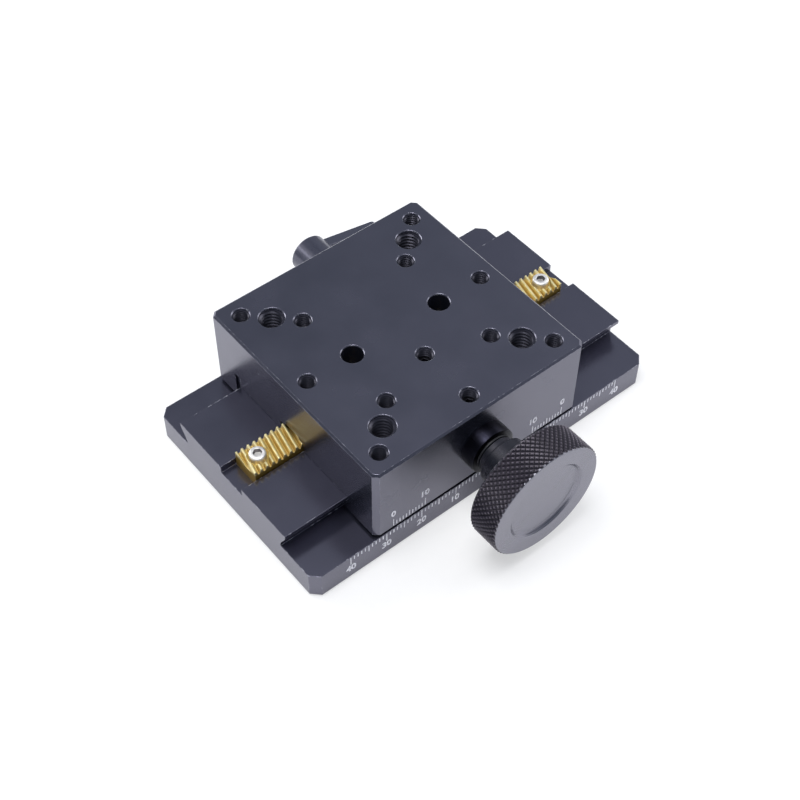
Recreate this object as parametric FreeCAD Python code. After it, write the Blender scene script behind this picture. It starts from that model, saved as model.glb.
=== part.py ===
import FreeCAD, Part
import math
import os

# Manual rack-and-pinion stage on a dovetail rail, in millimetres.
# X runs along the travel, the knob is on the -Y side and +Z is up.
# The origin is the middle of the base's underside.

# Base and its rail
base_length = 100.0
base_width = 60.0
base_thickness = 7.5
base_corner_cut = 2.0
base_edge_break = 0.4
rail_ledge = 10.0
rail_rise = 5.5
rail_lip = 1.0
rail_relief = 1.0
rail_flank_angle = 60.0
base_bolt_spacing_x = 50.0
base_bolt_radius = 2.25
base_bolt_head_radius = 4.0
base_bolt_head_depth = 4.6

# Rack, its slot and its screws
rack_end_inset = 4.0
rack_width = 7.5
rack_height = 4.4
rack_slot_depth = 2.0
rack_side_gap = 0.25
rack_screw_inset = 3.5
rack_screw_radius = 1.25
rack_screw_length = 8.0
rack_screw_head_radius = 2.0
rack_screw_head_height = 2.0
rack_screw_hex = 2.0
rack_screw_seat_drop = 1.1
rack_counterbore_gap = 0.55
rack_hole_gap = 0.2
tapped_depth_spare = 0.8

# Teeth of the rack and pinion
tooth_module = 0.5
helix_angle = 12.0
pressure_angle = 20.0
pinion_teeth = 14
profile_shift = 0.2
addendum_factor = 1.0
dedendum_factor = 1.25
flank_backlash = 0.06
pinion_face_width = 9.0
pinion_stations = 5

# Carriage
carriage_height = 21.5
carriage_gap = 1.0
carriage_corner_cut = 1.2
carriage_edge_break = 0.5
slide_clearance = 0.05
travel_each_way = 20.0
rest_offset = -3.1
stop_gap = 0.3
channel_side_gap = 0.6
channel_top_gap = 0.5

# Gib and its screws
gib_thickness = 1.9
gib_rise = 3.0
gib_play = 0.05
gib_end_inset = 0.5
gib_floor_gap = 0.3
gib_screw_radius = 1.5
gib_screw_length = 6.0
gib_screw_hex = 1.5
gib_screw_places = (-24.0, -9.0, 24.0)
clamp_place = 9.0

# Holes of the top face, as distances from the middle of the carriage
m6_radius = 3.0
m6_depth = 10.0
m6_spacing = 40.0
m4_radius = 2.0
m4_depth = 8.0
m4_outer_inset = 5.0
m4_inner_spacing = 30.0
plain_hole_radius = 2.55
plain_hole_spacing = 25.0
inner_lock_screw_place = -10.0
hole_edge_break = 0.2

# Shaft, bushes and washers
shaft_radius = 3.0
tail_radius = 2.5
shaft_running_gap = 0.03
bush_radius = 4.6
bush_head_radius = 6.0
bush_head_length = 3.7
bush_fit = 0.02
rear_bush_radius = 4.0
rear_bush_length = 10.0
rear_bush_inset = 1.2
washer_thickness = 0.4
washer_gap = 0.06
tail_end_gap = 0.6
edge_break = 0.3
thread_gap = 0.05
lock_screw_length = 4.0
lock_screw_hex = 2.0
contact_gap = 0.02

# Knob
knob_radius = 15.0
knob_length = 8.0
knob_edge_break = 0.5
knob_recess_radius = 9.9
knob_recess_depth = 0.45
knob_hub_radius = 6.0
knob_hub_length = 6.8
knob_neck_radius = 4.7
knob_neck_length = 2.0
knob_bore_end = 4.0
knob_screw_radius = 1.5
knob_screw_length = 3.0
knob_screw_hex = 1.5

# Clamp: stud, serrated insert and pull-out handle
stud_radius = 2.0
pad_radius = 1.6
pad_length = 2.0
insert_stand_off = 0.4
insert_collar_radius = 4.0
insert_collar_length = 3.0
serration_count = 12
serration_root_radius = 2.9
serration_height = 0.4
serration_length = 2.0
serration_root_share = 0.8
serration_tip_share = 0.24
serration_gap = 0.08
insert_post_radius = 2.4
insert_post_length = 2.5
handle_seat_gap = 0.15
handle_hub_radius = 5.0
handle_hub_length = 13.0
handle_edge_break = 0.5
handle_bore_spare = 0.3
handle_web = 1.0
handle_chamber_radius = 3.3
handle_arm_reach = 21.0
handle_arm_root_radius = 3.4
handle_arm_tip_radius = 2.0
handle_arm_thickness = 4.0
handle_arm_setback = 0.6
handle_arm_chamfer = 0.7
handle_arm_tilt = -7.0
lever_screw_radius = 1.5
lever_screw_head_radius = 2.8
lever_screw_head_height = 2.0
lever_screw_head_setback = 0.5
lever_screw_engaged = 3.2
lever_screw_slot = 0.7
spring_wire_radius = 0.25
spring_coil_radius = 2.3
spring_turns = 3
spring_seat_gap = 0.03

# Heights and places that follow from the sizes above
rail_top = base_thickness + rail_rise
rail_crest = rail_top - rail_lip
rail_foot = base_thickness + rail_relief
rail_half = base_width / 2 - rail_ledge
flank_run = 1 / math.tan(math.radians(rail_flank_angle))
flank_gap = slide_clearance / math.sin(math.radians(rail_flank_angle))
base_bolt_spacing_y = base_width - rail_ledge
slot_floor = rail_top - rack_slot_depth
slot_width = rack_width + 2 * rack_side_gap
rack_length = base_length - 2 * rack_end_inset
rack_screw_spacing = rack_length - 2 * rack_screw_inset

tan_helix = math.tan(math.radians(helix_angle))
transverse_module = tooth_module / math.cos(math.radians(helix_angle))
tan_flank = math.tan(math.radians(pressure_angle)) / math.cos(math.radians(helix_angle))
flank_angle = math.atan(tan_flank)
tooth_pitch = math.pi * transverse_module
pitch_radius = pinion_teeth * transverse_module / 2
addendum = addendum_factor * tooth_module
dedendum = dedendum_factor * tooth_module
rack_tip = slot_floor + rack_height
rack_pitch_line = rack_tip - addendum
axis_height = rack_pitch_line + pitch_radius + profile_shift * tooth_module

rack_screw_seat = rack_tip - rack_screw_seat_drop
rack_screw_top = rack_screw_seat + rack_screw_head_height

carriage_width = base_width
carriage_length = carriage_width
carriage_floor = base_thickness + carriage_gap
carriage_top = carriage_floor + carriage_height
carriage_front = -carriage_width / 2
carriage_back = carriage_width / 2
m4_outer_spacing = carriage_width - 2 * m4_outer_inset
lock_screw_places = (carriage_front + m4_outer_inset, inner_lock_screw_place)
groove_roof = rail_top + slide_clearance
groove_half = rail_half + flank_gap
gib_top = rail_top + gib_rise
gib_bottom = carriage_floor + gib_floor_gap
gib_outer = groove_half + gib_thickness
gib_pocket = gib_outer + gib_play
gib_screw_height = (gib_top + gib_bottom) / 2
stop_shoulder = rack_screw_spacing / 2 - rack_screw_head_radius - travel_each_way - stop_gap

pinion_front = -pinion_face_width / 2
pinion_back = pinion_face_width / 2
bush_inner_end = pinion_front - washer_thickness - 2 * washer_gap
bush_outer_end = carriage_front - bush_head_length
knob_neck_end = bush_outer_end - washer_thickness - 2 * washer_gap
knob_hub_back = knob_neck_end - knob_neck_length
knob_back = knob_hub_back - knob_hub_length
knob_front = knob_back - knob_length
shaft_front = knob_front + knob_bore_end
main_bore_end = pinion_back + washer_thickness
rear_bush_front = main_bore_end + rear_bush_inset
rear_bush_back = rear_bush_front + rear_bush_length
tail_end = rear_bush_back - tail_end_gap

stud_tip = gib_outer + 2 * contact_gap + pad_length
collar_bottom = carriage_back + insert_stand_off
collar_top = collar_bottom + insert_collar_length
serration_top = collar_top + serration_length
post_top = serration_top + insert_post_length
handle_bottom = collar_top + handle_seat_gap
handle_top = handle_bottom + handle_hub_length
handle_web_bottom = post_top + handle_bore_spare
handle_web_top = handle_web_bottom + handle_web
lever_screw_head_top = handle_top - lever_screw_head_setback
lever_screw_head_bottom = lever_screw_head_top - lever_screw_head_height


def vec(x, y, z):
    return FreeCAD.Vector(x, y, z)


def block(x0, x1, y0, y1, z0, z1):
    """Cuboid between two corners."""
    return Part.makeBox(x1 - x0, y1 - y0, z1 - z0, vec(x0, y0, z0))


def rod_z(x, y, radius, z0, z1):
    """Upright cylinder."""
    return Part.makeCylinder(radius, z1 - z0, vec(x, y, z0), vec(0, 0, 1))


def rod_y(x, z, radius, y0, y1):
    """Cylinder that lies along Y."""
    return Part.makeCylinder(radius, y1 - y0, vec(x, y0, z), vec(0, 1, 0))


def face_of(points):
    """Flat face inside a closed run of straight edges."""
    return Part.Face(Part.makePolygon(points + points[:1]))


def prism_x(outline, x0, x1):
    """Solid of one (y, z) outline, drawn out along X."""
    return face_of([vec(x0, y, z) for y, z in outline]).extrude(vec(x1 - x0, 0, 0))


def turned_y(outline):
    """Solid turned about Y from one (radius, y) outline."""
    return face_of([vec(r, y, 0) for r, y in outline]).revolve(vec(0, 0, 0), vec(0, 1, 0), 360)


def on_shaft_axis(shape):
    """Moves a piece drawn about Y to the axis of knob and pinion."""
    return shape.translated(vec(rest_offset, 0, axis_height))


def on_clamp_axis(shape):
    """Moves a piece drawn about Y to the axis of the clamp."""
    return shape.translated(vec(rest_offset + clamp_place, 0, gib_screw_height))


def on_carriage(shape):
    """Moves a piece drawn with the carriage centred to its place at rest."""
    return shape.translated(vec(rest_offset, 0, 0))


def fused(shapes):
    """One clean solid from several that touch or overlap."""
    return shapes[0].fuse(shapes[1:]).removeSplitter()


def square_places(spacing_x, spacing_y):
    """The four corners of a rectangle about the middle."""
    return [(sx * spacing_x / 2, sy * spacing_y / 2) for sx in (-1, 1) for sy in (-1, 1)]


def hex_socket(across, depth):
    """Hexagonal recess whose mouth is at z = 0, below the origin."""
    corner = across / math.sqrt(3)
    angles = [k * math.pi / 3 for k in range(6)]
    ring = [vec(corner * math.cos(a), corner * math.sin(a), 0) for a in angles]
    return face_of(ring).extrude(vec(0, 0, -depth))


def set_screw(radius, length, across):
    """Headless screw: socket mouth at z = 0, flat point at z = -length."""
    return Part.makeCylinder(radius, length, vec(0, 0, -length)).cut(hex_socket(across, length / 2))


def aim_y(shape):
    """Turns a screw drawn along Z so that its mouth faces +Y."""
    return shape.rotated(vec(0, 0, 0), vec(1, 0, 0), -90)


def top_hole(x, y, radius, bottom):
    """Hole from the carriage's top face down to a height, its mouth broken."""
    wall = rod_z(x, y, radius, bottom, carriage_top)
    low = vec(x, y, carriage_top - hole_edge_break)
    return wall.fuse(Part.makeCone(radius, radius + hole_edge_break, hole_edge_break, low))


# Base and rack

def rail_outline(side_gap, top, foot):
    """(y, z) outline of the dovetail, widened by a gap on each flank."""
    half = rail_half + side_gap
    foot_half = half - (rail_crest - rail_foot) * flank_run
    right = [(foot_half, foot), (foot_half, rail_foot), (half, rail_crest), (half, top)]
    return right + [(-y, z) for y, z in reversed(right)]


def base_plate():
    """Plate with cut corners, the rail along it, the rack's slot and the bolt holes."""
    x, y, cut = base_length / 2, base_width / 2, base_corner_cut
    corners = [(x - cut, -y), (x, -y + cut), (x, y - cut), (x - cut, y),
               (-x + cut, y), (-x, y - cut), (-x, -y + cut), (-x + cut, -y)]
    plate = face_of([vec(px, py, 0) for px, py in corners]).extrude(vec(0, 0, base_thickness))
    low_edges = [e for e in plate.Edges if e.BoundBox.ZMax < edge_break]
    plate = plate.makeChamfer(base_edge_break, low_edges)
    rail = prism_x(rail_outline(0, rail_top, base_thickness), -x, x)
    cuts = [block(-x, x, -slot_width / 2, slot_width / 2, slot_floor, rail_top)]
    head_seat = base_thickness - base_bolt_head_depth
    for px, py in square_places(base_bolt_spacing_x, base_bolt_spacing_y):
        cuts.append(rod_z(px, py, base_bolt_radius, 0, base_thickness))
        cuts.append(rod_z(px, py, base_bolt_head_radius, head_seat, base_thickness))
    tapped = rack_screw_seat - rack_screw_length - tapped_depth_spare
    for px in (-rack_screw_spacing / 2, rack_screw_spacing / 2):
        cuts.append(rod_z(px, 0, rack_screw_radius + thread_gap, tapped, slot_floor))
    return fused([plate, rail]).cut(cuts)


def rack():
    """Helical rack: one toothed outline in XZ, drawn out along the slant of its teeth."""
    tip_half = tooth_pitch / 4 - addendum * tan_flank
    root_half = tooth_pitch / 4 + dedendum * tan_flank
    root = rack_pitch_line - dedendum
    slant = rack_width * tan_helix
    reach = math.ceil((rack_length + slant) / 2 / tooth_pitch) + 1
    outline = []
    for k in range(-reach, reach + 1):
        middle = k * tooth_pitch - slant / 2
        outline += [(middle - root_half, root), (middle - tip_half, rack_tip),
                    (middle + tip_half, rack_tip), (middle + root_half, root)]
    first, last = outline[0][0], outline[-1][0]
    outline += [(last, slot_floor), (first, slot_floor)]
    bar = face_of([vec(x, -rack_width / 2, z) for x, z in outline]).extrude(vec(slant, rack_width, 0))
    half = rack_length / 2
    bar = bar.common(block(-half, half, -rack_width / 2, rack_width / 2, slot_floor, rack_tip))
    cuts = []
    for side in (-1, 1):
        x = side * rack_screw_spacing / 2
        cuts.append(rod_z(x, 0, rack_screw_radius + rack_hole_gap, slot_floor, rack_screw_seat))
        cuts.append(rod_z(x, 0, rack_screw_head_radius + rack_counterbore_gap, rack_screw_seat, rack_tip))
    return bar.cut(cuts)


def rack_screws():
    """Two socket-head screws; their heads stand over the teeth and stop the carriage."""
    head = rod_z(0, 0, rack_screw_head_radius, rack_screw_seat, rack_screw_top)
    rims = [e for e in head.Edges if e.BoundBox.ZMin > rack_screw_top - edge_break]
    head = head.makeChamfer(edge_break, rims)
    shank = rod_z(0, 0, rack_screw_radius, rack_screw_seat - rack_screw_length, rack_screw_seat)
    socket = hex_socket(rack_screw_hex, rack_screw_head_height / 2).translated(vec(0, 0, rack_screw_top))
    screw = fused([head, shank]).cut(socket)
    half = rack_screw_spacing / 2
    return Part.makeCompound([screw.translated(vec(px, 0, 0)) for px in (-half, half)])


# Carriage

def groove_outline():
    """(y, z) outline of the carriage's groove: a flank at the front, the gib's pocket at the back."""
    foot_half = groove_half - (rail_crest - carriage_floor) * flank_run
    below = carriage_floor - carriage_gap
    roof_end = groove_half - gib_play
    pocket_top = gib_top + gib_play
    return [(-foot_half, below), (-foot_half, carriage_floor), (-groove_half, rail_crest),
            (-groove_half, groove_roof), (roof_end, groove_roof), (roof_end, pocket_top),
            (gib_pocket, pocket_top), (gib_pocket, below)]


def carriage_blank():
    """Block with its upright edges and its top edges broken."""
    x, y = carriage_length / 2, carriage_width / 2
    blank = block(-x, x, -y, y, carriage_floor, carriage_top)
    upright = [e for e in blank.Edges if e.BoundBox.ZLength > carriage_height / 2]
    blank = blank.makeChamfer(carriage_corner_cut, upright)
    top_edges = [e for e in blank.Edges if e.BoundBox.ZMin > carriage_top - edge_break]
    return blank.makeChamfer(carriage_edge_break, top_edges)


def carriage_cuts():
    """Everything that is machined out of the carriage."""
    x = carriage_length / 2
    channel_half = rack_width / 2 + channel_side_gap
    channel_roof = rack_tip + channel_top_gap
    pocket_half = rack_screw_head_radius + channel_side_gap
    pocket_roof = rack_screw_top + channel_top_gap
    cuts = [prism_x(groove_outline(), -x, x),
            block(-x, x, -channel_half, channel_half, carriage_floor, channel_roof),
            block(stop_shoulder, x, -pocket_half, pocket_half, carriage_floor, pocket_roof),
            block(-x, -stop_shoulder, -pocket_half, pocket_half, carriage_floor, pocket_roof),
            rod_y(0, axis_height, bush_radius, carriage_front, main_bore_end),
            rod_y(0, axis_height, rear_bush_radius, main_bore_end, rear_bush_back + tail_end_gap)]
    for place in gib_screw_places:
        cuts.append(rod_y(place, gib_screw_height, gib_screw_radius + thread_gap, gib_outer, carriage_back))
    cuts.append(rod_y(clamp_place, gib_screw_height, stud_radius + thread_gap, gib_outer, carriage_back))
    for place in lock_screw_places:
        cuts.append(top_hole(0, place, m4_radius + thread_gap, axis_height))
    for px, py in square_places(m6_spacing, m6_spacing):
        cuts.append(top_hole(px, py, m6_radius, carriage_top - m6_depth))
    for spacing in (m4_outer_spacing, m4_inner_spacing):
        for px, py in square_places(spacing, spacing):
            cuts.append(top_hole(px, py, m4_radius, carriage_top - m4_depth))
    for side in (-1, 1):
        cuts.append(top_hole(side * m4_outer_spacing / 2, 0, m4_radius, carriage_top - m4_depth))
        cuts.append(top_hole(side * plain_hole_spacing / 2, 0, plain_hole_radius, carriage_floor))
    return cuts


def carriage_block():
    """Table with its groove, rack channel, stop pockets, bores and hole pattern."""
    return on_carriage(carriage_blank().cut(carriage_cuts()))


def gib_strip():
    """Strip between the carriage's pocket and the rail's rear flank."""
    foot_half = groove_half - (rail_crest - gib_bottom) * flank_run
    outline = [(foot_half, gib_bottom), (groove_half, rail_crest), (groove_half, gib_top),
               (gib_outer, gib_top), (gib_outer, gib_bottom)]
    half = carriage_length / 2 - gib_end_inset
    return on_carriage(prism_x(outline, -half, half))


def gib_screws():
    """Set screws that push the gib against the rail."""
    screw = aim_y(set_screw(gib_screw_radius, gib_screw_length, gib_screw_hex))
    mouth = gib_outer + contact_gap + gib_screw_length
    return Part.makeCompound([screw.translated(vec(rest_offset + place, mouth, gib_screw_height))
                              for place in gib_screw_places])


def bush_lock_screws():
    """Set screws in the top face that hold the front bush in its bore."""
    mouth = axis_height + bush_radius + lock_screw_length
    screw = set_screw(m4_radius, lock_screw_length, lock_screw_hex)
    places = [vec(rest_offset, place, mouth) for place in lock_screw_places]
    return Part.makeCompound([screw.translated(place) for place in places])


def front_bush():
    """Flanged bush: its head stands out of the front face, its body reaches the pinion."""
    body = bush_radius - bush_fit
    bore = shaft_radius + shaft_running_gap
    outline = [(bore, bush_outer_end), (bush_head_radius - edge_break, bush_outer_end),
               (bush_head_radius, bush_outer_end + edge_break), (bush_head_radius, carriage_front),
               (body, carriage_front), (body, bush_inner_end), (bore, bush_inner_end)]
    return on_shaft_axis(turned_y(outline))


def rear_bush():
    """Plain bush for the shaft's tail."""
    bore = tail_radius + shaft_running_gap
    outside = rear_bush_radius - bush_fit
    outline = [(bore, rear_bush_front), (outside, rear_bush_front),
               (outside, rear_bush_back), (bore, rear_bush_back)]
    return on_shaft_axis(turned_y(outline))


def clamp_pad():
    """Brass pin between the stud's tip and the gib."""
    start = gib_outer + contact_gap
    return on_clamp_axis(rod_y(0, 0, pad_radius, start, start + pad_length))


# Knob and pinion shaft

def polar(radius, angle, y):
    """Point in a plane across Y; the angle runs from +X towards +Z."""
    return vec(radius * math.cos(angle), y, radius * math.sin(angle))


def involute_turn(radius, base_radius):
    """Angle by which an involute has turned at a radius."""
    if radius <= base_radius:
        return 0.0
    pressure = math.acos(base_radius / radius)
    return math.tan(pressure) - pressure


def pinion_outline(y):
    """Closed outline of the pinion in the plane at y, one tooth pointing down at its middle plane."""
    base_radius = pitch_radius * math.cos(flank_angle)
    tip_radius = pitch_radius + profile_shift * tooth_module + addendum
    root_radius = pitch_radius + profile_shift * tooth_module - dedendum
    thickness = tooth_pitch / 2 + 2 * profile_shift * tooth_module * tan_flank - flank_backlash
    base_half = thickness / 2 / pitch_radius + involute_turn(pitch_radius, base_radius)
    radii = [base_radius, (base_radius + tip_radius) / 2, tip_radius]
    half_turns = [base_half - involute_turn(r, base_radius) for r in radii]
    step = 2 * math.pi / pinion_teeth
    edges = []
    for k in range(pinion_teeth):
        middle = pinion_phase() + k * step + y * tan_helix / pitch_radius
        rise = [polar(r, middle - a, y) for r, a in zip(radii, half_turns)]
        fall = [polar(r, middle + a, y) for r, a in zip(radii, half_turns)]
        root_in = polar(root_radius, middle - base_half, y)
        root_out = polar(root_radius, middle + base_half, y)
        root_next = polar(root_radius, middle + step - base_half, y)
        edges += [Part.LineSegment(root_in, rise[0]).toShape(), Part.Arc(*rise).toShape(),
                  Part.LineSegment(rise[2], fall[2]).toShape(),
                  Part.Arc(*reversed(fall)).toShape(), Part.LineSegment(fall[0], root_out).toShape(),
                  Part.LineSegment(root_out, root_next).toShape()]
    return Part.Wire(edges)


def pinion_phase():
    """Angle of the tooth that stands in the rack's space nearest to the pinion at rest."""
    space = (math.floor(rest_offset / tooth_pitch) + 0.5) * tooth_pitch
    return -math.pi / 2 + (space - rest_offset) / pitch_radius


def pinion_teeth_solid():
    """Helical teeth: outlines at even stations, each turned a little further, joined by ruled flanks."""
    step = pinion_face_width / (pinion_stations - 1)
    outlines = [pinion_outline(pinion_front + k * step) for k in range(pinion_stations)]
    return Part.makeLoft(outlines, True, True)


def pinion_shaft():
    """Shaft with its pinion cut in one piece, a thinner tail behind it."""
    outline = [(0, shaft_front), (shaft_radius - edge_break, shaft_front),
               (shaft_radius, shaft_front + edge_break), (shaft_radius, pinion_front),
               (tail_radius, pinion_front), (tail_radius, tail_end - edge_break),
               (tail_radius - edge_break, tail_end), (0, tail_end)]
    return on_shaft_axis(fused([pinion_teeth_solid(), turned_y(outline)]))


def washer_ring(inside, outside, start):
    """Flat washer about Y."""
    outline = [(inside, start), (outside, start), (outside, start + washer_thickness),
               (inside, start + washer_thickness)]
    return on_shaft_axis(turned_y(outline))


def inner_thrust_washer():
    """Washer between the pinion's front face and the bush."""
    start = bush_inner_end + washer_gap
    return washer_ring(shaft_radius + shaft_running_gap, bush_radius - edge_break, start)


def friction_washer():
    """Washer between the bush's head and the knob's neck."""
    return washer_ring(shaft_radius + shaft_running_gap, knob_neck_radius, knob_neck_end + washer_gap)


def knob():
    """Turned knob: neck, hub and gripping rim, with a shallow recess in its face."""
    bore = shaft_radius + contact_gap
    floor = knob_front + knob_recess_depth
    shaft_stop = shaft_front - contact_gap
    outline = [(0, floor), (knob_recess_radius - knob_recess_depth, floor), (knob_recess_radius, knob_front),
               (knob_radius - knob_edge_break, knob_front), (knob_radius, knob_front + knob_edge_break),
               (knob_radius, knob_back - knob_edge_break), (knob_radius - knob_edge_break, knob_back),
               (knob_hub_radius, knob_back), (knob_hub_radius, knob_hub_back),
               (knob_neck_radius, knob_hub_back), (knob_neck_radius, knob_neck_end),
               (bore, knob_neck_end), (bore, shaft_stop), (0, shaft_stop)]
    turned = turned_y(outline)
    middle = (knob_hub_back + knob_back) / 2
    hole = knob_screw_radius + thread_gap
    down = Part.makeCylinder(hole, knob_hub_radius, vec(0, middle, 0), vec(0, 0, -1))
    side = Part.makeCylinder(hole, knob_hub_radius, vec(0, middle, 0), vec(1, 0, 0))
    return on_shaft_axis(turned.cut([down, side]))


def knob_set_screws():
    """Two set screws at right angles that hold the knob on its shaft."""
    middle = (knob_hub_back + knob_back) / 2
    mouth = shaft_radius + contact_gap + knob_screw_length
    screw = set_screw(knob_screw_radius, knob_screw_length, knob_screw_hex).translated(vec(0, 0, mouth))
    down = screw.rotated(vec(0, 0, 0), vec(0, 1, 0), 180).translated(vec(0, middle, 0))
    side = screw.rotated(vec(0, 0, 0), vec(0, 1, 0), 90).translated(vec(0, middle, 0))
    return on_shaft_axis(Part.makeCompound([down, side]))


# Clamp

def clamp_stud():
    """Threaded stud that bears on the pad and carries the insert."""
    return on_clamp_axis(rod_y(0, 0, stud_radius, stud_tip, collar_top))


def serration(gap, y0, y1):
    """Toothed bar about Y, grown by a gap; each tooth has a flat tip and a flat root."""
    root = serration_root_radius + gap
    tip = root + serration_height
    step = 2 * math.pi / serration_count
    points = []
    for k in range(serration_count):
        for radius, share in ((root, -serration_root_share), (tip, -serration_tip_share),
                              (tip, serration_tip_share), (root, serration_root_share)):
            points.append(polar(radius, (k + share / 2) * step, y0))
    return face_of(points).extrude(vec(0, y1 - y0, 0))


def serrated_insert():
    """Insert of the handle: collar, serration and bored post."""
    solid = fused([rod_y(0, 0, insert_collar_radius, collar_bottom, collar_top),
                   serration(0, collar_top, serration_top),
                   rod_y(0, 0, insert_post_radius, serration_top, post_top)])
    stud_bore = rod_y(0, 0, stud_radius + thread_gap, collar_bottom, collar_top + contact_gap)
    screw_end = post_top - lever_screw_engaged - contact_gap
    screw_bore = rod_y(0, 0, lever_screw_radius + thread_gap, screw_end, post_top)
    return on_clamp_axis(solid.cut([stud_bore, screw_bore]))


def arm_outline():
    """Face of the lever's arm across Y: a round root at the hub, a round tip, straight tangents between."""
    reach = handle_arm_reach - handle_arm_tip_radius
    lean = math.asin((handle_arm_root_radius - handle_arm_tip_radius) / reach)
    up = math.pi / 2 - lean
    root_up = polar(handle_arm_root_radius, up, 0)
    root_down = polar(handle_arm_root_radius, -up, 0)
    tip_up = polar(handle_arm_tip_radius, up, 0) + vec(reach, 0, 0)
    tip_down = polar(handle_arm_tip_radius, -up, 0) + vec(reach, 0, 0)
    edges = [Part.LineSegment(root_up, tip_up).toShape(),
             Part.Arc(tip_up, vec(handle_arm_reach, 0, 0), tip_down).toShape(),
             Part.LineSegment(tip_down, root_down).toShape(),
             Part.Arc(root_down, vec(-handle_arm_root_radius, 0, 0), root_up).toShape()]
    return Part.Face(Part.Wire(edges))


def lever_handle():
    """Clamping lever: round hub with its tapered arm, bored for the insert, the spring and the screw."""
    hub = rod_y(0, 0, handle_hub_radius, handle_bottom, handle_top)
    rims = [e for e in hub.Edges if len(e.Vertexes) == 1]
    hub = hub.makeChamfer(handle_edge_break, rims)
    arm = arm_outline().extrude(vec(0, handle_arm_thickness, 0))
    long_edges = [e for e in arm.Edges if e.BoundBox.YLength < edge_break]
    arm = arm.makeChamfer(handle_arm_chamfer, long_edges)
    arm.translate(vec(0, handle_top - handle_arm_setback - handle_arm_thickness, 0))
    arm.rotate(vec(0, 0, 0), vec(0, 1, 0), -handle_arm_tilt)
    cuts = [serration(serration_gap, handle_bottom, serration_top + handle_seat_gap),
            rod_y(0, 0, serration_root_radius + serration_gap, handle_bottom, handle_web_bottom),
            rod_y(0, 0, lever_screw_radius + rack_hole_gap, handle_bottom, handle_top),
            rod_y(0, 0, handle_chamber_radius, handle_web_top, handle_top)]
    return on_clamp_axis(fused([hub, arm]).cut(cuts))


def lever_spring():
    """Coil spring between the handle's web and the screw's head."""
    wire_gap = spring_wire_radius + spring_seat_gap
    start = handle_web_top + wire_gap
    height = lever_screw_head_bottom - handle_web_top - 2 * wire_gap
    coil = Part.makeHelix(height / spring_turns, height, spring_coil_radius)
    corners = [k * math.pi / 3 for k in range(7)]
    middle = vec(spring_coil_radius, 0, 0)
    ring = [middle + spring_wire_radius * vec(math.cos(a), 0, math.sin(a)) for a in corners]
    wire = Part.Wire(coil.Edges).makePipeShell([Part.makePolygon(ring)], True, True)
    wire.rotate(vec(0, 0, 0), vec(1, 0, 0), -90)
    return on_clamp_axis(wire.translated(vec(0, start, 0)))


def lever_screw():
    """Screw that holds the handle and the spring on the insert."""
    shank_end = post_top - lever_screw_engaged
    head = rod_y(0, 0, lever_screw_head_radius, lever_screw_head_bottom, lever_screw_head_top)
    rims = [e for e in head.Edges if e.BoundBox.YMin > lever_screw_head_top - edge_break]
    head = head.makeChamfer(edge_break, rims)
    shank = rod_y(0, 0, lever_screw_radius, shank_end, lever_screw_head_bottom)
    half = lever_screw_slot / 2
    slot = block(-handle_hub_radius, handle_hub_radius, lever_screw_head_top - lever_screw_slot,
                 lever_screw_head_top, -half, half)
    return on_clamp_axis(fused([head, shank]).cut(slot))


nodes = [base_plate, rack, rack_screws, carriage_block, gib_strip, gib_screws, clamp_pad,
         front_bush, rear_bush, bush_lock_screws, inner_thrust_washer, friction_washer,
         pinion_shaft, knob, knob_set_screws, clamp_stud, serrated_insert, lever_handle,
         lever_spring, lever_screw]

os.makedirs("parts", exist_ok=True)
for make in nodes:
    shape = make()
    shape.exportStep(os.path.join("parts", make.__name__ + ".step"))
    print(make.__name__, len(shape.Solids), "solids", round(shape.Volume, 3), "mm3, valid:", shape.isValid())
print("pitch radius", round(pitch_radius, 5), "axis height", round(axis_height, 4))
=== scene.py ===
# %% [markdown]
# A manual linear stage, dressed for its picture
#
# The stage is a block of black anodised aluminium that slides along a dovetail rail. A knob
# turns a small pinion on a brass rack, and a lever on the far side clamps the slide.
# The solid model of it is loaded first and is never moved. Everything that is made below
# lies on that model, in the same metres and round the same origin.

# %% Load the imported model
import math

import bmesh
import bpy
from mathutils import Euler, Matrix, Vector


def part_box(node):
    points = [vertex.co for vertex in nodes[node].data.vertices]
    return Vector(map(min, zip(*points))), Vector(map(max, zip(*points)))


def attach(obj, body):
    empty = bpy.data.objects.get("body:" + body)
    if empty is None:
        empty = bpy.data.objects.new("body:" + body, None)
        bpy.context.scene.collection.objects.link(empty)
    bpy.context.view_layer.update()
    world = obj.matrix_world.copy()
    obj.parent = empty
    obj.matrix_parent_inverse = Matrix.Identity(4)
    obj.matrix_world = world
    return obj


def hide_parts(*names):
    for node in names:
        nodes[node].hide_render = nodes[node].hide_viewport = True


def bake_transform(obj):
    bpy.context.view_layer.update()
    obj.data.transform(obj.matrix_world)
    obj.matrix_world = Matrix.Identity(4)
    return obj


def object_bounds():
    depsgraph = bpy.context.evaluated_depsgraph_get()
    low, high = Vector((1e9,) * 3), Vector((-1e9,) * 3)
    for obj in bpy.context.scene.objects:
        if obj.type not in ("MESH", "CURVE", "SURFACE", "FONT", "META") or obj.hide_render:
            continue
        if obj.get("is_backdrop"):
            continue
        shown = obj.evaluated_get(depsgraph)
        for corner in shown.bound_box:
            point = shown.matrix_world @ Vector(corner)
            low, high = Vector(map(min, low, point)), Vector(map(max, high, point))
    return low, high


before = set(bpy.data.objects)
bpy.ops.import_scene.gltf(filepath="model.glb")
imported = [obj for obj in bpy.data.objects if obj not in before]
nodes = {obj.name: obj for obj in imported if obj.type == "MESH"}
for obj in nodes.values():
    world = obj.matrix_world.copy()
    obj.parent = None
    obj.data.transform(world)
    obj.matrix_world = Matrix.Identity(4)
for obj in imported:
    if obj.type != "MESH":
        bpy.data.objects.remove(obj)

cad_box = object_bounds()
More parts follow.
